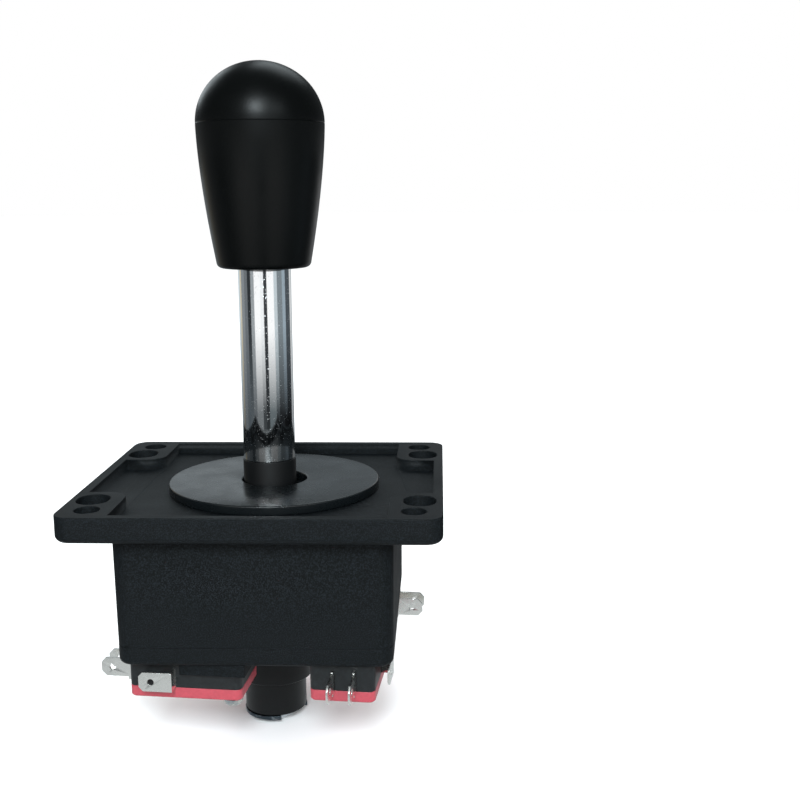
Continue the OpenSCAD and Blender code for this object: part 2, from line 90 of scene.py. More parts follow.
def add_node(
    tree: bpy.types.NodeTree,
    kind: str,
    settings: dict[str, object] | None = None,
    inputs: dict[str | int, object] | None = None,
) -> bpy.types.Node:
    """Add one shader node.

    Args:
        tree: the node tree that takes it.
        kind: the node's type name.
        settings: the node's own settings, by attribute name.
        inputs: values or sockets for its inputs, by socket name or number.

    Returns:
        The new node.
    """
    node = tree.nodes.new(kind)
    for name, value in (settings or {}).items():
        setattr(node, name, value)
    for key, value in (inputs or {}).items():
        if isinstance(value, bpy.types.NodeSocket):
            tree.links.new(value, node.inputs[key])
        else:
            node.inputs[key].default_value = value
    return node


def make_piece(name: str, shape: bmesh.types.BMesh, crease: float = 32.0) -> bpy.types.Object:
    """Turn a finished bmesh into a piece at the origin, smooth but for its sharp edges.

    Args:
        name: the piece's name.
        shape: the mesh, in metres and in place.
        crease: faces that meet at more than this many degrees keep a sharp edge.

    Returns:
        The new object, linked to the scene.
    """
    for face in shape.faces:
        face.smooth = True
    mesh = bpy.data.meshes.new(name)
    shape.to_mesh(mesh)
    shape.free()
    mesh.set_sharp_from_angle(angle=math.radians(crease))
    piece = bpy.data.objects.new(name, mesh)
    bpy.context.scene.collection.objects.link(piece)
    return piece


def soften_edges(
    shape: bmesh.types.BMesh, width: float, steps: int, corner: float, inner: bool = True
) -> None:
    """Round every edge whose two faces turn by more than a corner's angle.

    Args:
        shape: the mesh to change.
        width: how far the rounding reaches from each edge, in mm.
        steps: faces across the rounding.
        corner: the least angle between two faces that counts as an edge, in degrees.
        inner: true where inside corners are rounded as well.
    """
    edges = [
        e for e in shape.edges
        if e.is_manifold and e.calc_face_angle(0.0) > math.radians(corner)
        and (inner or e.is_convex)
    ]
    bmesh.ops.bevel(
        shape, geom=edges, offset=width * MM, offset_type="OFFSET", affect="EDGES",
        segments=steps, profile=0.5, material=-1, clamp_overlap=False, loop_slide=True,
        miter_outer="SHARP", miter_inner="SHARP",
    )


def softened_copy(
    node: bpy.types.Object, name: str, width: float, merge: bool = True
) -> bpy.types.Object:
    """Copy a CAD node and soften its outer edges.

    Args:
        node: the CAD node.
        name: the new piece's name.
        width: how far the rounding reaches from each edge, in mm.
        merge: true where flat triangles are merged to whole faces first.

    Returns:
        The new piece, its flat faces shaded flat up to the rounding.
    """
    shape = bmesh.new()
    shape.from_mesh(node.data)
    bmesh.ops.remove_doubles(shape, verts=shape.verts, dist=1e-6)
    if merge:
        bmesh.ops.dissolve_limit(
            shape, angle_limit=MERGE_ANGLE, verts=shape.verts, edges=shape.edges
        )
        bmesh.ops.dissolve_degenerate(shape, dist=2e-5, edges=shape.edges)
    soften_edges(shape, width, 2, COPY_CORNER, inner=False)
    bmesh.ops.triangulate(
        shape, faces=[f for f in shape.faces if len(f.verts) > 4], ngon_method="EAR_CLIP"
    )
    piece = make_piece(name, shape, COPY_CREASE)
    even = piece.modifiers.new("even_flats", "WEIGHTED_NORMAL")
    even.keep_sharp = True
    return piece


def turned_piece(
    name: str,
    profile: Profile,
    bored: bool,
    edge: float = 0.0,
    centre: tuple[float, float] = (0.0, 0.0),
    steps: int = 128,
) -> bpy.types.Object:
    """Spin a profile round an upright axis and soften its rims.

    Args:
        name: the piece's name.
        profile: radius and height of each corner in mm, in order.
        bored: true where the profile closes on itself round a bore, false where it runs
            from axis to axis.
        edge: how far the rounding of each rim reaches, in mm.
        centre: x and y of the axis in mm.
        steps: faces round the piece.

    Returns:
        The new piece.
    """
    shape = bmesh.new()
    corners = [shape.verts.new((r * MM, 0, z * MM)) for r, z in profile]
    ends = corners[1:] + corners[:1] if bored else corners[1:]
    for start, end in zip(corners, ends):
        shape.edges.new((start, end))
    bmesh.ops.spin(
        shape, geom=shape.verts[:] + shape.edges[:], cent=(0, 0, 0), axis=(0, 0, 1),
        dvec=(0, 0, 0), angle=math.tau, steps=steps, use_merge=True, use_duplicate=False,
    )
    bmesh.ops.remove_doubles(shape, verts=shape.verts, dist=1e-7)
    bmesh.ops.recalc_face_normals(shape, faces=shape.faces)
    if edge:
        soften_edges(shape, edge, 3, 28.0)
    bmesh.ops.translate(shape, verts=shape.verts, vec=(centre[0] * MM, centre[1] * MM, 0))
    return make_piece(name, shape)


# ------------------------------------------------------------------ finishes


@dataclass(frozen=True)
class Finish:
    """One real material and how its surface was made."""

    slot: str
    colour: str
    roughness: float

    def make(self) -> bpy.types.Material:
        """Build the material.

        Returns:
            The material, named for the finish and its slot.
        """
        material = bpy.data.materials.new(f"{type(self).__name__}_{self.slot}")
        material.use_nodes = True
        tree = material.node_tree
        tree.nodes.clear()
        shader = add_node(tree, "ShaderNodeBsdfPrincipled")
        self.dress(tree, shader)
        add_node(tree, "ShaderNodeOutputMaterial", inputs={"Surface": shader.outputs["BSDF"]})
        return material

    def dress(self, tree: bpy.types.NodeTree, shader: bpy.types.Node) -> None:
        """Set the shader's values and patterns. Each finish has its own."""
        raise NotImplementedError

    def noise(
        self, tree: bpy.types.NodeTree, size: float, detail: float = 2.0,
        stretch: tuple[float, float, float] = (1.0, 1.0, 1.0),
    ) -> bpy.types.NodeSocket:
        """Noise whose blobs have a real size.

        Args:
            tree: the material's node tree.
            size: size of a blob in mm.
            detail: how many finer layers it has.
            stretch: how much longer the blobs are along each axis.

        Returns:
            The noise's value, round 0.5.
        """
        place = add_node(tree, "ShaderNodeTexCoord")
        scale = Vector([1 / (size * MM * s) for s in stretch])
        mapped = add_node(
            tree, "ShaderNodeMapping",
            inputs={"Vector": place.outputs["Object"], "Scale": scale},
        )
        texture = add_node(
            tree, "ShaderNodeTexNoise", {"noise_dimensions": "3D"},
            {"Vector": mapped.outputs["Vector"], "Scale": 1.0, "Detail": detail},
        )
        return texture.outputs["Fac"]

    def between(
        self, tree: bpy.types.NodeTree, value: bpy.types.NodeSocket,
        limits: tuple[float, float], results: tuple[float, float],
    ) -> bpy.types.NodeSocket:
        """Stretch a value's range over another.

        Args:
            tree: the material's node tree.
            value: the value, such as a noise.
            limits: the values that give the first and the last result.
            results: what comes out at each limit.

        Returns:
            The stretched value.
        """
        spread = add_node(
            tree, "ShaderNodeMapRange", {"clamp": True},
            {
                "Value": value, "From Min": limits[0], "From Max": limits[1],
                "To Min": results[0], "To Max": results[1],
            },
        )
        return spread.outputs["Result"]

    def tint(
        self, tree: bpy.types.NodeTree, share: bpy.types.NodeSocket, low: str, high: str
    ) -> bpy.types.NodeSocket:
        """Mix two colours by a share.

        Args:
            tree: the material's node tree.
            share: 0 for the first colour and 1 for the second.
            low: hex code of the first colour.
            high: hex code of the second colour.

        Returns:
            The mixed colour.
        """
        mix = add_node(
            tree, "ShaderNodeMix", {"data_type": "RGBA"},
            {"Factor": share, 6: linear(low), 7: linear(high)},
        )
        return mix.outputs[2]

    def relief(
        self, tree: bpy.types.NodeTree, shader: bpy.types.Node,
        heights: list[tuple[bpy.types.NodeSocket, float]],
    ) -> None:
        """Raise the surface by one or more patterns, one on top of the other.

        Args:
            tree: the material's node tree.
            shader: the shader that takes the normal.
            heights: each pattern with its depth in mm.
        """
        normal = None
        for height, depth in heights:
            inputs = {"Height": height, "Distance": depth * MM, "Strength": 1.0}
            if normal:
                inputs["Normal"] = normal
            normal = add_node(tree, "ShaderNodeBump", inputs=inputs).outputs["Normal"]
        tree.links.new(normal, shader.inputs["Normal"])


@dataclass(frozen=True)
class MouldedABS(Finish):
    """ABS, injection moulded in a spark-eroded tool: black, matt, with a fine even grain.

    The grain scatters light, so the black lifts to a soft charcoal sheen. That sheen is a
    painted sheen: a lighter charcoal, mixed at random into the black base colour with the grain.
    Flow from the gate leaves faint, wide patches that are a little more or less shiny.
    """

    # colour of the painted sheen: the lighter charcoal that stands in for light scattered by the
    # grain
    sheen_colour: str = "13181c"
    grain: float = 0.26
    depth: float = 0.016

    def dress(self, tree: bpy.types.NodeTree, shader: bpy.types.Node) -> None:
        """Painted charcoal sheen, speckled at random over black, grainy relief and patchy gloss.
        """
        # real mould grain is about 0.1 mm; it is drawn coarser so that it shows
        grain = self.noise(tree, self.grain, 3.0)
        flow = self.noise(tree, 14.0, 2.0, (2.0, 2.0, 1.0))
        # painted sheen: where the grain noise is high, the black base colour is lifted towards
        # the lighter sheen colour
        speckle = self.between(tree, grain, (0.47, 0.62), (0.0, 1.0))
        shader.inputs["IOR"].default_value = 1.53
        shader.inputs["Specular IOR Level"].default_value = 0.13
        tree.links.new(
            self.tint(tree, speckle, self.colour, self.sheen_colour),
            shader.inputs["Base Color"],
        )
        tree.links.new(
            self.between(
                tree, flow, (0.3, 0.7), (self.roughness - 0.06, self.roughness + 0.06)
            ),
            shader.inputs["Roughness"],
        )
        self.relief(tree, shader, [(grain, self.depth)])


@dataclass(frozen=True)
class SatinHandleABS(Finish):
    """ABS handle, moulded and lightly blasted: deep black with a soft, wide highlight."""

    def dress(self, tree: bpy.types.NodeTree, shader: bpy.types.Node) -> None:
        """Fine blasted grain that breaks the highlight up, and faint rubbed patches."""
        # blasting grit leaves pits of about 0.15 mm; they are drawn at 0.3 mm
        grit = self.noise(tree, 0.3, 2.0)
        rubbed = self.noise(tree, 9.0, 3.0)
        shader.inputs["Base Color"].default_value = linear(self.colour)
        shader.inputs["IOR"].default_value = 1.53
        shader.inputs["Specular IOR Level"].default_value = 0.12
        tree.links.new(
            self.between(
                tree, rubbed, (0.35, 0.65), (self.roughness - 0.03, self.roughness + 0.04)
            ),
            shader.inputs["Roughness"],
        )
        self.relief(tree, shader, [(grit, 0.012)])


@dataclass(frozen=True)
class MachinedAcetal(Finish):
    """Acetal or nylon, moulded then turned: black, waxy and smoother than the case."""

    ring_pitch: float = 0.35

    def dress(self, tree: bpy.types.NodeTree, shader: bpy.types.Node) -> None:
        """Shallow tool rings up the piece and slightly uneven wax-like gloss."""
        # tool feed is about 0.1 mm a turn; the rings are drawn coarser so that they show
        rings = self.noise(tree, self.ring_pitch, 1.0, (60.0, 60.0, 1.0))
        wax = self.noise(tree, 5.0, 3.0)
        shader.inputs["Base Color"].default_value = linear(self.colour)
        shader.inputs["IOR"].default_value = 1.48
        shader.inputs["Specular IOR Level"].default_value = 0.25
        tree.links.new(
            self.between(
                tree, wax, (0.3, 0.7), (self.roughness - 0.05, self.roughness + 0.07)
            ),
            shader.inputs["Roughness"],
        )
        self.relief(tree, shader, [(rings, 0.006)])


@dataclass(frozen=True)
class NylonSheet(Finish):
    """Nylon sheet, punched and rubbed by the sliding collar: charcoal with a soft shine."""

    def dress(self, tree: bpy.types.NodeTree, shader: bpy.types.Node) -> None:
        """Fine satin grain and shinier patches where the sheet has slid."""
        grain = self.noise(tree, 0.35, 2.0)
        slid = self.noise(tree, 7.0, 3.0)
        shader.inputs["Base Color"].default_value = linear(self.colour)
        shader.inputs["IOR"].default_value = 1.52
        shader.inputs["Specular IOR Level"].default_value = 0.4
        tree.links.new(
            self.between(
                tree, slid, (0.35, 0.65), (self.roughness - 0.05, self.roughness + 0.05)
            ),
            shader.inputs["Roughness"],
        )
        self.relief(tree, shader, [(grain, 0.01)])


@dataclass(frozen=True)
class ChromePlate(Finish):
    """Bright chromium on drawn steel tube: a mirror with fine pits and faint draw lines."""

    def dress(self, tree: bpy.types.NodeTree, shader: bpy.types.Node) -> None:
        """Tiny dull pits over a near mirror."""
        # plating pits are 0.05 to 0.1 mm across; they are drawn at about 0.2 mm
        pits = self.between(tree, self.noise(tree, 0.35, 1.0), (0.68, 0.76), (0.0, 1.0))
        draw = self.noise(tree, 0.5, 1.0, (1.0, 1.0, 60.0))
        shader.inputs["Base Color"].default_value = linear(self.colour)
        shader.inputs["Metallic"].default_value = 1.0
        tree.links.new(
            self.between(tree, pits, (0.0, 1.0), (self.roughness, 0.45)),
            shader.inputs["Roughness"],
        )
        self.relief(tree, shader, [(pits, -0.01), (draw, 0.0016)])


@dataclass(frozen=True)
class ZincPlate(Finish):
    """Zinc plate on turned or headed steel: pale, slightly milky, with tool rings."""

    ring_pitch: float = 0.3

    def dress(self, tree: bpy.types.NodeTree, shader: bpy.types.Node) -> None:
        """Milky blotches in the plate and fine rings from the tool."""
        blotch = self.noise(tree, 1.6, 3.0)
        rings = self.noise(tree, self.ring_pitch, 1.0)
        shader.inputs["Metallic"].default_value = 1.0
        tree.links.new(
            self.tint(
                tree, self.between(tree, blotch, (0.35, 0.7), (0.0, 1.0)), "9fa6ab", self.colour
            ),
            shader.inputs["Base Color"],
        )
        tree.links.new(
            self.between(
                tree, blotch, (0.3, 0.7), (self.roughness - 0.06, self.roughness + 0.08)
            ),
            shader.inputs["Roughness"],
        )
        self.relief(tree, shader, [(rings, 0.006)])


@dataclass(frozen=True)
class RolledStrip(Finish):
    """Cold-rolled strip, blanked and plated: bright, with fine streaks along the roll."""

    streak_axis: int = 1

    def dress(self, tree: bpy.types.NodeTree, shader: bpy.types.Node) -> None:
        """Fine rolling streaks that break the reflection, and faint finger-dull patches."""
        stretch = tuple(12.0 if axis == self.streak_axis else 1.0 for axis in range(3))
        streaks = self.noise(tree, 0.25, 2.0, stretch)
        dull = self.noise(tree, 2.5, 2.0)
        shader.inputs["Base Color"].default_value = linear(self.colour)
        shader.inputs["Metallic"].default_value = 1.0
        tree.links.new(
            self.between(
                tree, dull, (0.3, 0.7), (self.roughness - 0.05, self.roughness + 0.08)
            ),
            shader.inputs["Roughness"],
        )
        self.relief(tree, shader, [(streaks, 0.004)])


@dataclass(frozen=True)
class DrawnSpringWire(Finish):
    """Patented spring wire, drawn and oiled: dark grey steel, darker where oiled."""

    def dress(self, tree: bpy.types.NodeTree, shader: bpy.types.Node) -> None:
        """Oil-dark patches over dull steel."""
        oil = self.noise(tree, 1.2, 3.0)
        shader.inputs["Metallic"].default_value = 1.0
        tree.links.new(
            self.tint(
                tree, self.between(tree, oil, (0.35, 0.65), (0.0, 1.0)), "5d6266", self.colour
            ),
            shader.inputs["Base Color"],
        )
        shader.inputs["Roughness"].default_value = self.roughness
        self.relief(tree, shader, [(oil, 0.004)])


@dataclass(frozen=True)
class BlackOxide(Finish):
    """Black oxide on stamped spring steel: dark blue-grey, satin, lighter on rubbed spots."""

    def dress(self, tree: bpy.types.NodeTree, shader: bpy.types.Node) -> None:
        """Rubbed spots where the oxide is thin."""
        rub = self.noise(tree, 1.4, 3.0)
        shader.inputs["Metallic"].default_value = 1.0
        tree.links.new(
            self.tint(
                tree, self.between(tree, rub, (0.5, 0.75), (0.0, 1.0)), self.colour, "8b9296"
            ),
            shader.inputs["Base Color"],
        )
        shader.inputs["Roughness"].default_value = self.roughness
        self.relief(tree, shader, [(rub, 0.005)])


@dataclass(frozen=True)
class MouldedPBT(Finish):
    """Glass-filled PBT, injection moulded: dense colour, faintly mottled, soft gloss."""

    mottle: str = "000000"

    def dress(self, tree: bpy.types.NodeTree, shader: bpy.types.Node) -> None:
        """Glass fibre mottle in colour and gloss, and a fine moulded grain."""
        fibre = self.noise(tree, 0.8, 4.0)
        grain = self.noise(tree, 0.25, 2.0)
        shader.inputs["IOR"].default_value = 1.55
        shader.inputs["Specular IOR Level"].default_value = 0.4
        tree.links.new(
            self.tint(
                tree, self.between(tree, fibre, (0.35, 0.68), (0.0, 1.0)),
                self.colour, self.mottle,
            ),
            shader.inputs["Base Color"],
        )
        tree.links.new(
            self.between(
                tree, fibre, (0.3, 0.7), (self.roughness - 0.05, self.roughness + 0.07)
            ),
            shader.inputs["Roughness"],
        )
        self.relief(tree, shader, [(grain, 0.008)])


@dataclass(frozen=True)
class BronzeStrip(Finish):
    """Copper alloy spring strip: warm metal with a thin, uneven tarnish."""

    def dress(self, tree: bpy.types.NodeTree, shader: bpy.types.Node) -> None:
        """Tarnish that browns the strip in soft patches."""
        tarnish = self.noise(tree, 2.0, 3.0)
        shader.inputs["Metallic"].default_value = 1.0
        tree.links.new(
            self.tint(
                tree, self.between(tree, tarnish, (0.4, 0.7), (0.0, 1.0)), self.colour, "7a4a2c"
            ),
            shader.inputs["Base Color"],
        )
        shader.inputs["Roughness"].default_value = self.roughness


@dataclass(frozen=True)
class Finishes:
    """Every finish on the joystick, made once and shared by the pieces."""

    case: bpy.types.Material
    handle: bpy.types.Material
    acetal: bpy.types.Material
    washer: bpy.types.Material
    chrome: bpy.types.Material
    zinc: bpy.types.Material
    nickel: bpy.types.Material
    spring: bpy.types.Material
    clip: bpy.types.Material
    lever: bpy.types.Material
    tin: bpy.types.Material
    switch_case: bpy.types.Material
    switch_cover: bpy.types.Material
    plunger: bpy.types.Material
    bronze: bpy.types.Material

    @classmethod
    def make(cls) -> Finishes:
        """Make all finishes."""
        return cls(
            case=MouldedABS("black_plastic", "050809", 0.6).make(),
            handle=SatinHandleABS("handle_plastic", "030404", 0.36).make(),
            acetal=MachinedAcetal("black_nylon", "08090a", 0.42).make(),
            washer=NylonSheet("black_plastic", "0a0e10", 0.27).make(),
            chrome=ChromePlate("chrome", "e2e4e5", 0.07).make(),
            zinc=ZincPlate("zinc_steel", "c9cfd3", 0.26).make(),
            nickel=ZincPlate("nickel", "d3d3cc", 0.22).make(),
            spring=DrawnSpringWire("spring_steel", "8b9196", 0.36).make(),
            clip=BlackOxide("dark_steel", "3c444b", 0.38).make(),
            lever=RolledStrip("lever_steel", "c6c9ca", 0.3).make(),
            tin=RolledStrip("terminal_tin", "ecebe6", 0.24, 2).make(),
            switch_case=MouldedPBT("switch_black", "0a0c0e", 0.45, "14181a").make(),
            switch_cover=MouldedPBT("switch_red", "9e3843", 0.42, "93333e").make(),
            plunger=MouldedPBT("plunger_yellow", "d8b83c", 0.4, "cfae36").make(),
            bronze=BronzeStrip("contact_copper", "c98a58", 0.3).make(),
        )


# ------------------------------------------------------------------ sub-assemblies


class Way(Enum):
    """The four ways the stick is pushed, as quarter turns from the +X switch."""

    LEFT = 0
    DOWN = 1
    RIGHT = 2
    UP = 3


@dataclass
class Workshop:
    """The frame, the finishes and the bookkeeping that every sub-assembly shares."""

    nodes: dict[str, bpy.types.Object]
    finishes: Finishes
    body_of: dict[str, str]
    slot_of: dict[str, str]

    def fit(self, piece: bpy.types.Object, finish: bpy.types.Material, node: str) -> None:
        """Dress a piece and put it in a CAD node's place.

        Args:
            piece: the new piece.
            finish: its material.
            node: the CAD node that it stands for.
        """
        piece.data.materials.clear()
        piece.data.materials.append(finish)
        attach(piece, self.body_of[node])
        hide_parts(node)
        LOG.info("%s: %d faces", piece.name, len(piece.data.polygons))

    def soften(
        self, node: str, finish: bpy.types.Material, width: float, merge: bool = True
    ) -> None:
        """Stand a softened copy in for a CAD node.

        Args:
            node: the CAD node.
            finish: the copy's material.
            width: how far the rounding of each edge reaches, in mm.
            merge: true where flat triangles are merged to whole faces first.
        """
        name = f"{node}_finished"
        self.fit(softened_copy(self.nodes[node], name, width, merge), finish, node)

    def span(self, node: str) -> tuple[float, float]:
        """Find how high and low a CAD node reaches.

        Args:
            node: the CAD node.

        Returns:
            Its lowest and highest z in mm.
        """
        low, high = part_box(node)
        return low.z / MM, high.z / MM

    def radius(self, node: str) -> float:
        """Find a round CAD node's radius.

        Args:
            node: the CAD node.

        Returns:
            Half its size along Y in mm.
        """
        low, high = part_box(node)
        return (high.y - low.y) / 2 / MM


@dataclass
class Housing:
    """Flange, case and base plate, with the screws that hold them together."""

    edge: float = 0.2
    plate_edge: float = 0.12
    screw_edge: float = 0.1
    switch_screw_edge: float = 0.05

    def build(self, shop: Workshop) -> None:
        """Build and dress the housing's pieces.

        Args:
            shop: the shared frame and finishes.
        """
        finishes = shop.finishes
        shop.soften("housing", finishes.case, self.edge)
        shop.soften("base_plate", finishes.case, self.plate_edge)
        shop.soften("base_screws", finishes.nickel, self.screw_edge)
        shop.soften("switch_screws", finishes.nickel, self.switch_screw_edge, merge=False)


@dataclass
class DustWasher:
    """The loose washer that slides over the recess."""

    hole_d: float = 16.7
    edge: float = 0.35

    def build(self, shop: Workshop) -> None:
        """Turn the washer round its own centre, which lies off the stick's axis.

        Args:
            shop: the shared frame and finishes.
        """
        low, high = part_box("dust_washer")
        bottom, top = shop.span("dust_washer")
        outer = shop.radius("dust_washer")
        centre = ((low.x + high.x) / 2 / MM, 0.0)
        profile = [
            (self.hole_d / 2, bottom), (outer, bottom), (outer, top), (self.hole_d / 2, top)
        ]
        washer = turned_piece(
            "dust_washer_disc", profile, True, self.edge, centre, steps=192
        )
        shop.fit(washer, shop.finishes.washer, "dust_washer")


@dataclass
class Stick:
    """Handle, sleeve, shaft, pivot ball, actuator, spring and clip. Sizes are in mm."""

    base_d: float = 23.4
    wide_d: float = 31.5
    taper: float = 1.55
    foot_r: float = 1.5
    foot_flare: float = 0.3
    seam_w: float = 0.12
    seam_depth: float = 0.09
    pin_bore_r: float = 3.05
    pin_bore_top: float = 25.8
    rod_bore_r: float = 4.95
    rod_bore_top: float = 3.5
    socket_r: float = 6.65
    socket_top: float = 1.9
    bore_d: float = 9.9
    pin_r: float = 3.0
    pin_foot: float = 57.0
    groove_r: float = 3.9
    groove_rise: float = 1.3
    groove_w: float = 1.0
    collar_d: float = 13.5
    ball_d: float = 19.0
    ball_z: float = -9.0
    ball_cap: float = 4.6
    ball_drop: float = 5.3
    ball_foot_r: float = 7.6
    neck_r: float = 7.0
    neck_h: float = 7.0
    cam_foot: float = 21.0
    end_r: float = 8.1
    wire_d: float = 1.6
    coil_d: float = 26.4
    coils: float = 4.5
    closed_turns: float = 0.75
    closed_share: float = 0.05

    def build(self, shop: Workshop) -> None:
        """Build and dress the stick's pieces.

        Args:
            shop: the shared frame and finishes.
        """
        shop.fit(self.handle(shop), shop.finishes.handle, "handle")
        shop.fit(self.sleeve(shop), shop.finishes.chrome, "sleeve")
        shop.fit(self.shaft(shop), shop.finishes.zinc, "shaft")
        shop.fit(self.pivot_ball(shop), shop.finishes.acetal, "pivot_ball")
        shop.fit(self.actuator(shop), shop.finishes.acetal, "actuator")
        shop.fit(self.spring(shop), shop.finishes.spring, "centring_spring")
        shop.soften("e_clip", shop.finishes.clip, 0.12)
        shop.soften("spring_seat", shop.finishes.zinc, 0.15)

    def handle_r(self, z: float, wide_z: float) -> float:
        """Radius of the handle below its widest line.

        Args:
            z: height above the handle's foot in mm.
            wide_z: height of the widest line above the foot in mm.

        Returns:
            The radius in mm.
        """
        drop = (self.wide_d - self.base_d + self.foot_flare) / 2
        return self.wide_d / 2 - drop * ((wide_z - z) / wide_z) ** self.taper

    def handle(self, shop: Workshop) -> bpy.types.Object:
        """The bat top, with the fine groove where its dome meets its body.

        Args:
            shop: the shared frame and finishes.

        Returns:
            The handle.
        """
        foot, top = shop.span("handle")
        length = top - foot
        wide_z = length - self.wide_d / 2 + 1.0
        dome_h = length - wide_z
        profile = [
            (0.0, self.pin_bore_top), (self.pin_bore_r, self.pin_bore_top),
            (self.pin_bore_r, self.rod_bore_top), (self.rod_bore_r, self.rod_bore_top),
            (self.rod_bore_r, self.socket_top), (self.socket_r, self.socket_top),
            (self.socket_r, 0.0),
        ]
        for step in range(7):
            turn = math.radians(15 * step)
            profile.append((
                self.handle_r(self.foot_r, wide_z) - self.foot_r * (1 - math.sin(turn)),
                self.foot_r * (1 - math.cos(turn)),
            ))
        rises = 28
        for step in range(1, rises):
            z = self.foot_r + (wide_z - self.foot_r) * step / rises
            profile.append((self.handle_r(z, wide_z), z))
        wide_r = self.wide_d / 2
        profile += [(wide_r, wide_z - self.seam_w), (wide_r - self.seam_depth, wide_z)]
        for angle in [0.5] + list(range(3, 88, 3)):
            turn = math.radians(angle)
            profile.append((wide_r * math.cos(turn), wide_z + dome_h * math.sin(turn)))
        profile.append((0.0, length))
        return turned_piece("handle_bat", [(r, z + foot) for r, z in profile], False)

    def sleeve(self, shop: Workshop) -> bpy.types.Object:
        """The chromed tube round the shaft.

        Args:
            shop: the shared frame and finishes.

        Returns:
            The sleeve.
        """
        low, high = shop.span("sleeve")
        outer = shop.radius("sleeve")
        inner = self.bore_d / 2
        profile = [(inner, low), (outer, low), (outer, high), (inner, high)]
        return turned_piece("sleeve_tube", profile, True, 0.25)

    def shaft(self, shop: Workshop) -> bpy.types.Object:
        """The steel shaft, with its clip groove and the facing marks on its lower end.

        Args:
            shop: the shared frame and finishes.

        Returns:
            The shaft.
        """
        low, high = shop.span("shaft")
        rim = self.bore_d / 2 - 0.05
        groove_low = low + self.groove_rise
        groove_top = groove_low + self.groove_w
        profile = [(0.0, low + 0.9), (0.5, low + 0.5), (1.1, low + 0.12)]
        for ring in range(5):
            start = 1.1 + 0.62 * ring
            profile += [(start + 0.2, low), (start + 0.5, low + 0.05)]
        profile += [
            (rim - 0.5, low), (rim, low + 0.5), (rim, groove_low),
            (self.groove_r, groove_low), (self.groove_r, groove_top), (rim, groove_top),
            (rim, self.pin_foot), (self.pin_r, self.pin_foot), (self.pin_r, high), (0.0, high),
        ]
        return turned_piece("shaft_rod", profile, False)

    def pivot_ball(self, shop: Workshop) -> bpy.types.Object:
        """The ball, its collar and its foot.

        Args:
            shop: the shared frame and finishes.

        Returns:
            The ball with its collar.
        """
        low, high = shop.span("pivot_ball")
        inner = self.bore_d / 2
        collar = self.collar_d / 2
        ball = self.ball_d / 2
        start = -math.asin(self.ball_drop / ball)
        end = math.asin(self.ball_cap / ball)
        profile = [
            (inner, low), (self.ball_foot_r, low),
            (self.ball_foot_r, self.ball_z - self.ball_drop),
        ]
        rises = 16
        for step in range(rises + 1):
            turn = start + (end - start) * step / rises
            profile.append((ball * math.cos(turn), self.ball_z + ball * math.sin(turn)))
        profile += [(collar, self.ball_z + self.ball_cap), (collar, high), (inner, high)]
        return turned_piece("pivot_collar", profile, True, 0.2)

    def actuator(self, shop: Workshop) -> bpy.types.Object:
        """Neck, cam and narrow end.

        Args:
            shop: the shared frame and finishes.

        Returns:
            The actuator.
        """
        low, high = shop.span("actuator")
        cam_r = shop.radius("actuator")
        cam_top = high - self.neck_h
        cam_low = high - self.cam_foot
        inner = self.bore_d / 2
        profile = [
            (inner, low), (self.end_r, low), (self.end_r, cam_low), (cam_r, cam_low),
            (cam_r, cam_top), (self.neck_r, cam_top), (self.neck_r, high), (inner, high),
        ]
        return turned_piece("actuator_cam", profile, True, 0.5)

    def spring(self, shop: Workshop) -> bpy.types.Object:
        """The centring spring: a wire circle swept up three helices, closed at both ends.

        Args:
            shop: the shared frame and finishes.

        Returns:
            The spring.
        """
        low, high = shop.span("centring_spring")
        closed = (self.closed_turns, self.closed_share)
        open_turns = self.coils - 2 * self.closed_turns
        rise = (high - low - self.wire_d) * MM
        steps = 36
        shape = bmesh.new()
        end = bmesh.ops.create_circle(
            shape, cap_ends=True, segments=12, radius=self.wire_d / 2 * MM,
            matrix=Matrix.Translation((self.coil_d / 2 * MM, 0, (low + self.wire_d / 2) * MM))
            @ Matrix.Rotation(math.pi / 2, 4, "X"),
        )
        ring = {face for v in end["verts"] for face in v.link_faces}
        geometry = list(ring)
        shares = [closed, (open_turns, 0.9), closed]
        for turns, share in shares:
            count = max(1, round(steps * turns))
            swept = bmesh.ops.spin(
                shape, geom=geometry, cent=(0, 0, 0), axis=(0, 0, 1),
                dvec=(0, 0, rise * share / count), angle=math.tau * turns, steps=count,
                use_merge=False, use_duplicate=False,
            )
            geometry = swept["geom_last"]
        bmesh.ops.remove_doubles(shape, verts=shape.verts, dist=1e-7)
        bmesh.ops.recalc_face_normals(shape, faces=shape.faces)
        return make_piece("centring_coil", shape)


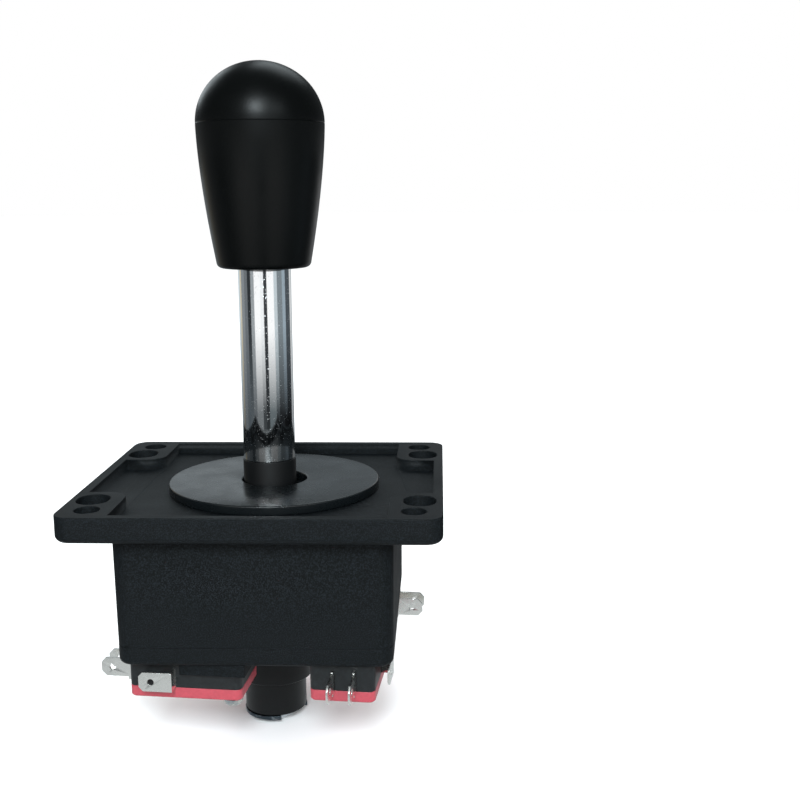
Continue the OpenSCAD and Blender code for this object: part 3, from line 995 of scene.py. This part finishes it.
@dataclass
class Microswitch:
    """One lever microswitch. Its own frame has x from the lever side and y from the tabs."""

    way: Way
    turn: float = -5.0
    face: float = 15.2
    back: float = 28.7
    case_edge: float = 0.15
    plunger_edge: float = 0.2
    lever_edge: float = 0.05
    tab_edge: float = 0.06
    line_w: float = 0.3
    line_h: float = 0.1
    line_edge: float = 0.04
    line_sink: float = 0.02
    ring_r: float = 0.8
    lines: tuple[tuple[tuple[float, float], tuple[float, float]], ...] = (
        ((0.8, 5.8), (5.0, 5.8)), ((5.0, 5.8), (5.0, 0.8)),
        ((5.9, 3.0), (5.9, 7.6)), ((5.9, 7.6), (8.2, 7.6)),
        ((11.1, 3.0), (11.1, 6.4)), ((11.1, 6.4), (9.0, 6.4)),
        ((13.4, 11.4), (8.6, 11.4)), ((8.6, 11.4), (8.2, 7.6)),
        ((10.6, 21.6), (15.2, 21.6)), ((10.6, 21.6), (10.6, 27.1)),
    )
    rings: tuple[tuple[float, float], ...] = ((5.9, 2.0), (11.1, 2.0), (14.3, 11.4))

    @property
    def name(self) -> str:
        """The way's name, as the CAD nodes have it."""
        return self.way.name.lower()

    def place(self) -> Matrix:
        """From the switch's own frame to the joystick's, in metres."""
        spin = Matrix.Rotation(math.radians(90 * self.way.value + self.turn), 4, "Z")
        return spin @ Matrix.Translation((self.face * MM, -self.back * MM, 0))

    def build(self, shop: Workshop) -> None:
        """Build and dress the switch's pieces.

        Args:
            shop: the shared frame and finishes.
        """
        finishes = shop.finishes
        shop.soften(f"{self.name}_switch_case", finishes.switch_case, self.case_edge)
        shop.soften(f"{self.name}_switch_cover", finishes.switch_cover, self.case_edge)
        shop.soften(f"{self.name}_plunger", finishes.plunger, self.plunger_edge)
        shop.soften(f"{self.name}_lever", finishes.lever, self.lever_edge)
        for tab in ("com", "no", "nc"):
            shop.soften(f"{self.name}_{tab}_terminal", finishes.tin, self.tab_edge)
        blade = shop.nodes[f"{self.name}_snap_blade"]
        blade.data.materials.clear()
        blade.data.materials.append(finishes.bronze)
        marks = self.diagram(shop)
        marks.data.materials.append(finishes.switch_cover)
        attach(marks, "housing")
        LOG.info("%s: %d faces", marks.name, len(marks.data.polygons))

    def diagram(self, shop: Workshop) -> bpy.types.Object:
        """The raised contact diagram on the cover: plain lines, one ring for each terminal.

        Args:
            shop: the shared frame and finishes; not used.

        Returns:
            The raised lines, moulded in one with the cover.
        """
        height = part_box(f"{self.name}_switch_cover")[0].z + self.line_sink * MM
        shape = bmesh.new()
        for start, end in self.lines:
            reach = Vector(end) - Vector(start)
            middle = (Vector(start) + Vector(end)) / 2 * MM
            size = Vector((reach.length + self.line_w, self.line_w, 2 * self.line_h)) * MM
            turn = Matrix.Rotation(math.atan2(reach.y, reach.x), 4, "Z")
            spot = Matrix.Translation((middle.x, middle.y, height))
            bmesh.ops.create_cube(
                shape, size=1.0, matrix=spot @ turn @ Matrix.Diagonal(size).to_4x4()
            )
        for centre in self.rings:
            made = bmesh.ops.create_cone(
                shape, cap_ends=False, segments=32, radius1=self.ring_r * MM,
                radius2=self.ring_r * MM, depth=2 * self.line_h * MM,
                matrix=Matrix.Translation((centre[0] * MM, centre[1] * MM, height)),
            )
            wall = {face for vert in made["verts"] for face in vert.link_faces}
            bmesh.ops.recalc_face_normals(shape, faces=list(wall))
            bmesh.ops.solidify(shape, geom=list(wall), thickness=self.line_w * MM)
        bmesh.ops.transform(shape, matrix=self.place(), verts=shape.verts)
        soften_edges(shape, self.line_edge, 1, COPY_CORNER)
        return make_piece(f"{self.name}_cover_diagram", shape)


# ------------------------------------------------------------------ studio


@dataclass
class Studio:
    """Pale floor, soft lights, reflector cards and the camera."""

    floor_z: float = -65.5
    card_r: float = 0.12
    card_top: float = 0.075
    card_turn: float = 8.9
    fade_low: float = -0.02
    fade_high: float = 0.034
    aim_z: float = 0.04
    light_colour: tuple[float, float, float] = (0.86, 0.96, 1.0)
    lens: float = 50.2
    eye: tuple[float, float, float] = (0.0437, -0.2791, 0.0730)
    ahead: tuple[float, float, float] = (-0.0349, 0.9818, -0.1868)
    right: tuple[float, float, float] = (0.9994, 0.0344, -0.0057)

    def build(self) -> None:
        """Set up everything round the object."""
        self.world()
        self.floor()
        self.softbox("key_left", 2.0, 31.0, 0.85, 0.24, 8.5)
        self.softbox("key_right", 38.0, 26.0, 0.95, 0.3, 1.4)
        self.softbox("top_back", 170.0, 50.0, 0.9, 0.5, 1.4)
        self.softbox("rear_left", 215.0, 25.0, 1.0, 0.4, 1.2)
        self.cards()
        self.camera()

    def world(self) -> None:
        """Plain pale surroundings."""
        world = bpy.data.worlds.new("pale_room")
        world.use_nodes = True
        tree = world.node_tree
        tree.nodes.clear()
        path = add_node(tree, "ShaderNodeLightPath")
        seen = add_node(
            tree, "ShaderNodeBackground", inputs={"Color": (1, 1, 1, 1), "Strength": 1.0}
        )
        cast = add_node(
            tree, "ShaderNodeBackground",
            inputs={"Color": linear("f8f9f9"), "Strength": 1.25},
        )
        mirrored = add_node(
            tree, "ShaderNodeBackground",
            inputs={"Color": linear("dfe9ee"), "Strength": 0.14},
        )
        soft = add_node(
            tree, "ShaderNodeMixShader",
            inputs={
                0: path.outputs["Is Glossy Ray"], 1: cast.outputs["Background"],
                2: mirrored.outputs["Background"],
            },
        )
        mix = add_node(
            tree, "ShaderNodeMixShader",
            inputs={
                0: path.outputs["Is Camera Ray"], 1: soft.outputs["Shader"],
                2: seen.outputs["Background"],
            },
        )
        add_node(tree, "ShaderNodeOutputWorld", inputs={"Surface": mix.outputs["Shader"]})
        bpy.context.scene.world = world

    def floor(self) -> None:
        """A wide white floor under the shaft's end."""
        shape = bmesh.new()
        bmesh.ops.create_circle(shape, cap_ends=True, segments=96, radius=6.0)
        bmesh.ops.translate(shape, verts=shape.verts, vec=(0, 0, self.floor_z * MM))
        floor = make_piece("floor", shape)
        material = bpy.data.materials.new("matt_white_floor")
        material.use_nodes = True
        tree = material.node_tree
        tree.nodes.clear()
        # seen from below the floor lets light through, so that the underside can be looked at
        side = add_node(tree, "ShaderNodeNewGeometry")
        shader = add_node(
            tree, "ShaderNodeBsdfPrincipled",
            inputs={"Base Color": linear("f6f6f6"), "Roughness": 0.9, "Specular IOR Level": 0.1},
        )
        quiet = add_node(
            tree, "ShaderNodeEmission", inputs={"Color": linear("ccd2d5"), "Strength": 1.0}
        )
        path = add_node(tree, "ShaderNodeLightPath")
        top = add_node(
            tree, "ShaderNodeMixShader",
            inputs={
                0: path.outputs["Is Glossy Ray"], 1: shader.outputs["BSDF"],
                2: quiet.outputs["Emission"],
            },
        )
        clear = add_node(tree, "ShaderNodeBsdfTransparent")
        mix = add_node(
            tree, "ShaderNodeMixShader",
            inputs={
                0: side.outputs["Backfacing"], 1: top.outputs["Shader"],
                2: clear.outputs["BSDF"],
            },
        )
        add_node(tree, "ShaderNodeOutputMaterial", inputs={"Surface": mix.outputs["Shader"]})
        floor.data.materials.append(material)

    def softbox(
        self, name: str, azimuth: float, height: float, away: float, size: float, power: float
    ) -> None:
        """Add a square area light that faces the middle of the joystick.

        Args:
            name: the light's name.
            azimuth: degrees round from the front, to the right.
            height: degrees above the floor.
            away: distance in m.
            size: side of the square in m.
            power: power in W.
        """
        light = bpy.data.lights.new(name, "AREA")
        light.shape = "SQUARE"
        light.size = size
        light.energy = power
        light.color = self.light_colour
        lamp = bpy.data.objects.new(name, light)
        bpy.context.scene.collection.objects.link(lamp)
        side, up = math.radians(azimuth), math.radians(height)
        aim = Vector((0, 0, self.aim_z))
        out = Vector((
            math.sin(side) * math.cos(up), -math.cos(side) * math.cos(up), math.sin(up)
        ))
        lamp.location = aim + out * away
        lamp.rotation_euler = out.to_track_quat("Z", "Y").to_euler()

    def cards(self) -> None:
        """Stand dark and pale cards round the object for the chrome to mirror."""
        bands = [
            (-180, -136, "c3cdd2", "6d7479"), (-136, -122, "c8bfa8", "5e5c56"),
            (-122, -100, "84898d", "5a5f63"),
            (-100, -81, "6d7276", "4a5156"), (-81, -64, "303437", "50565a"),
            (-64, -48, "9ba0a3", "5a5e61"), (-48, -21, "ffffff", "707476"),
            (-21, -7, "f4f6f7", "3c4042"), (-7, 7, "3a3d40", "2c2f31"),
            (7, 37, "ffffff", "5e6669"), (37, 52, "c3cdd2", "383d40"),
            (52, 77, "7d868b", "1e2022"), (77, 95, "98a6b0", "101112"),
            (95, 128, "4c5257", "0c0d0e"), (128, 152, "ced0d1", "8a8d90"),
            (152, 180, "8e979c", "5b6166"),
        ]
        for start, end, high, low in bands:
            self.card(f"card_{start:+d}", start, end, (high, low))

    def card(self, name: str, start: float, end: float, codes: tuple[str, str]) -> None:
        """Add one upright card, which only mirror-like surfaces see.

        Args:
            name: the card's name.
            start: its first edge, in degrees round from the front, to the right.
            end: its last edge.
            codes: hex colours of its head and its foot.
        """
        shape = bmesh.new()
        foot = shape.verts.new((0, -self.card_r, self.floor_z * MM))
        head = shape.verts.new((0, -self.card_r, self.card_top))
        bar = shape.edges.new((foot, head))
        turn = Matrix.Rotation(math.radians(start + self.card_turn), 3, "Z")
        bmesh.ops.rotate(shape, verts=shape.verts, matrix=turn)
        bmesh.ops.spin(
            shape, geom=[foot, head, bar], cent=(0, 0, 0), axis=(0, 0, 1), dvec=(0, 0, 0),
            angle=math.radians(end - start), steps=12, use_merge=False, use_duplicate=False,
        )
        card = make_piece(name, shape)
        material = bpy.data.materials.new(f"{name}_board")
        material.use_nodes = True
        tree = material.node_tree
        tree.nodes.clear()
        place = add_node(tree, "ShaderNodeTexCoord")
        axes = add_node(
            tree, "ShaderNodeSeparateXYZ", inputs={"Vector": place.outputs["Object"]}
        )
        height = add_node(
            tree, "ShaderNodeMapRange", {"clamp": True},
            {
                "Value": axes.outputs["Z"], "From Min": self.fade_low,
                "From Max": self.fade_high,
            },
        )
        shade = add_node(
            tree, "ShaderNodeMix", {"data_type": "RGBA"},
            {"Factor": height.outputs["Result"], 6: linear(codes[1]), 7: linear(codes[0])},
        )
        glow = add_node(
            tree, "ShaderNodeEmission", inputs={"Color": shade.outputs[2], "Strength": 1.25}
        )
        add_node(tree, "ShaderNodeOutputMaterial", inputs={"Surface": glow.outputs["Emission"]})
        card.data.materials.append(material)
        card.visible_camera = False
        card.visible_diffuse = False
        card.visible_shadow = False
        card.visible_transmission = False

    def camera(self) -> None:
        """Place the camera in front, a little above and to the right of the stick."""
        lens = bpy.data.cameras.new("camera")
        lens.lens = self.lens
        lens.sensor_width = 36.0
        lens.clip_start = 0.01
        camera = bpy.data.objects.new("camera", lens)
        bpy.context.scene.collection.objects.link(camera)
        ahead = Vector(self.ahead).normalized()
        right = Vector(self.right)
        right = (right - right.dot(ahead) * ahead).normalized()
        up = right.cross(ahead)
        turn = Matrix((right, up, -ahead)).transposed().to_4x4()
        camera.matrix_world = Matrix.Translation(self.eye) @ turn
        bpy.context.scene.camera = camera
        bpy.context.scene.view_settings.view_transform = "Standard"


def main() -> None:
    """Load the frame, build each sub-assembly in order and set up the studio."""
    logging.basicConfig(level=logging.INFO, format="%(name)s: %(message)s")
    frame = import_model()
    record = frame["record"]
    bodies = record["behaviour"]["bodies"]
    shop = Workshop(
        nodes=frame["nodes"],
        finishes=Finishes.make(),
        body_of={node: body for body, members in bodies.items() for node in members},
        slot_of={part["node"]: part["material_slot"] for part in record["subparts"]},
    )
    Housing().build(shop)
    DustWasher().build(shop)
    Stick().build(shop)
    for way in Way:
        Microswitch(way).build(shop)
    Studio().build()


if __name__ == "__main__":
    main()
